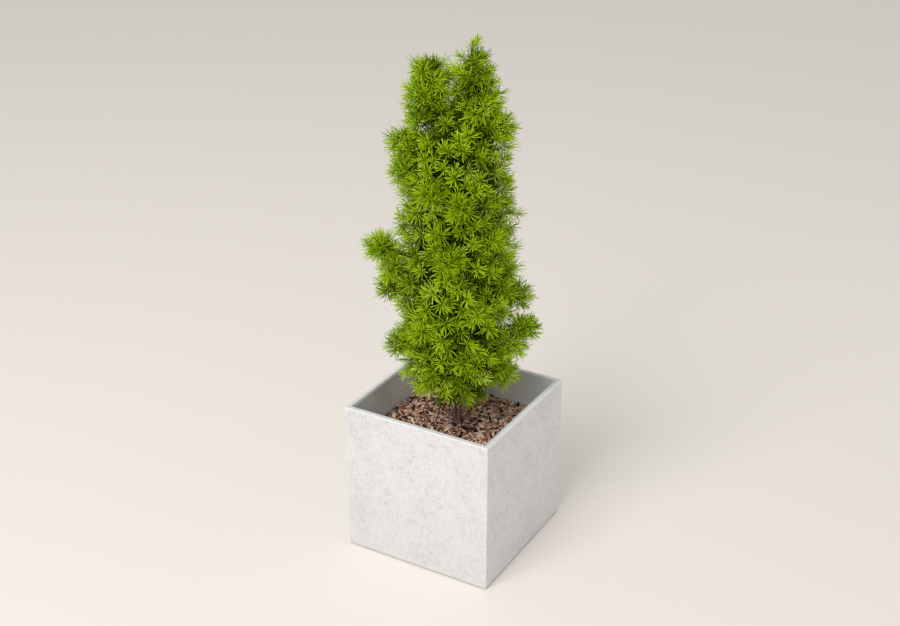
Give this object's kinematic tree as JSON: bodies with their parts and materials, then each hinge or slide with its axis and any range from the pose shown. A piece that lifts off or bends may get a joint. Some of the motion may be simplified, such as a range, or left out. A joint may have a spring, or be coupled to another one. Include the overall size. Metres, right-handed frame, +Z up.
{
  "type": "planter box",
  "caption": "Square planter box of pale fibre-concrete panels on hidden levelling feet, with a lift-out steel liner that holds bark mulch and a slim evergreen shrub.",
  "frame": {"origin": "on the ground under the centre of the box", "axes": "+Z up along the trunk; -Y is the front panel, +X the right panel"},
  "size_m": [0.5, 0.5, 1.618],
  "materials": {
    "concrete": "matte",
    "galvanised_steel": "satin",
    "zinc_plate": "satin",
    "brass": "satin",
    "liner_coating": "matte",
    "expanded_clay": "matte",
    "fleece": "matte",
    "soil": "matte",
    "bark_chips": "matte",
    "shrub_bark": "matte",
    "needles": "satin",
    "pad_rubber": "matte"
  },
  "bodies": {
    "box": {"panel_front": "concrete", "panel_back": "concrete", "panel_left": "concrete", "panel_right": "concrete", "corner_cleat_front_left": "galvanised_steel", "corner_cleat_front_right": "galvanised_steel", "corner_cleat_back_left": "galvanised_steel", "corner_cleat_back_right": "galvanised_steel", "frame_rail_front": "galvanised_steel", "frame_rail_back": "galvanised_steel", "frame_rail_left": "galvanised_steel", "frame_rail_right": "galvanised_steel", "bearer_front": "galvanised_steel", "bearer_back": "galvanised_steel", "panel_inserts": "brass", "panel_screws": "zinc_plate", "panel_washers": "zinc_plate", "bearer_rivet_nuts": "zinc_plate", "bearer_screws": "zinc_plate", "foot_weld_nuts": "zinc_plate", "foot_lock_nuts": "zinc_plate"},
    "liner_unit": {"liner": "liner_coating", "drainage_gravel": "expanded_clay", "filter_fleece": "fleece", "substrate": "soil", "root_ball": "soil", "bark_mulch": "bark_chips", "trunk": "shrub_bark", "foliage_skirt": "needles", "foliage_lower": "needles", "foliage_middle": "needles", "foliage_upper": "needles", "foliage_left_bough": "needles", "foliage_right_bough": "needles", "foliage_left_top": "needles", "foliage_leader": "needles"},
    "pad_front_left": {"foot_pad_front_left": "pad_rubber"},
    "stem_front_left": {"foot_stem_front_left": "zinc_plate"},
    "pad_front_right": {"foot_pad_front_right": "pad_rubber"},
    "stem_front_right": {"foot_stem_front_right": "zinc_plate"},
    "pad_back_left": {"foot_pad_back_left": "pad_rubber"},
    "stem_back_left": {"foot_stem_back_left": "zinc_plate"},
    "pad_back_right": {"foot_pad_back_right": "pad_rubber"},
    "stem_back_right": {"foot_stem_back_right": "zinc_plate"}
  },
  "joints": [
    {"name": "liner_lift", "type": "slide", "parent": "box", "child": "liner_unit", "axis": [0, 0, 1], "range_m": [0, 0.5]},
    {"name": "foot_height_front_left", "type": "slide", "parent": "box", "child": "pad_front_left", "axis": [0, 0, -1], "range_m": [0, 0.015]},
    {"name": "foot_turn_front_left", "type": "hinge", "parent": "pad_front_left", "child": "stem_front_left", "pos_m": [-0.216, -0.216, 0.02], "axis": [0, 0, -1], "range_deg": [0, 3600]},
    {"name": "foot_height_front_right", "type": "slide", "parent": "box", "child": "pad_front_right", "axis": [0, 0, -1], "range_m": [0, 0.015]},
    {"name": "foot_turn_front_right", "type": "hinge", "parent": "pad_front_right", "child": "stem_front_right", "pos_m": [0.216, -0.216, 0.02], "axis": [0, 0, -1], "range_deg": [0, 3600]},
    {"name": "foot_height_back_left", "type": "slide", "parent": "box", "child": "pad_back_left", "axis": [0, 0, -1], "range_m": [0, 0.015]},
    {"name": "foot_turn_back_left", "type": "hinge", "parent": "pad_back_left", "child": "stem_back_left", "pos_m": [-0.216, 0.216, 0.02], "axis": [0, 0, -1], "range_deg": [0, 3600]},
    {"name": "foot_height_back_right", "type": "slide", "parent": "box", "child": "pad_back_right", "axis": [0, 0, -1], "range_m": [0, 0.015]},
    {"name": "foot_turn_back_right", "type": "hinge", "parent": "pad_back_right", "child": "stem_back_right", "pos_m": [0.216, 0.216, 0.02], "axis": [0, 0, -1], "range_deg": [0, 3600]}
  ],
  "couplings": [
    {"joint": "foot_turn_front_left", "follows": "foot_height_front_left", "rad_per_m": 4188.8},
    {"joint": "foot_turn_front_right", "follows": "foot_height_front_right", "rad_per_m": 4188.8},
    {"joint": "foot_turn_back_left", "follows": "foot_height_back_left", "rad_per_m": 4188.8},
    {"joint": "foot_turn_back_right", "follows": "foot_height_back_right", "rad_per_m": 4188.8}
  ]
}
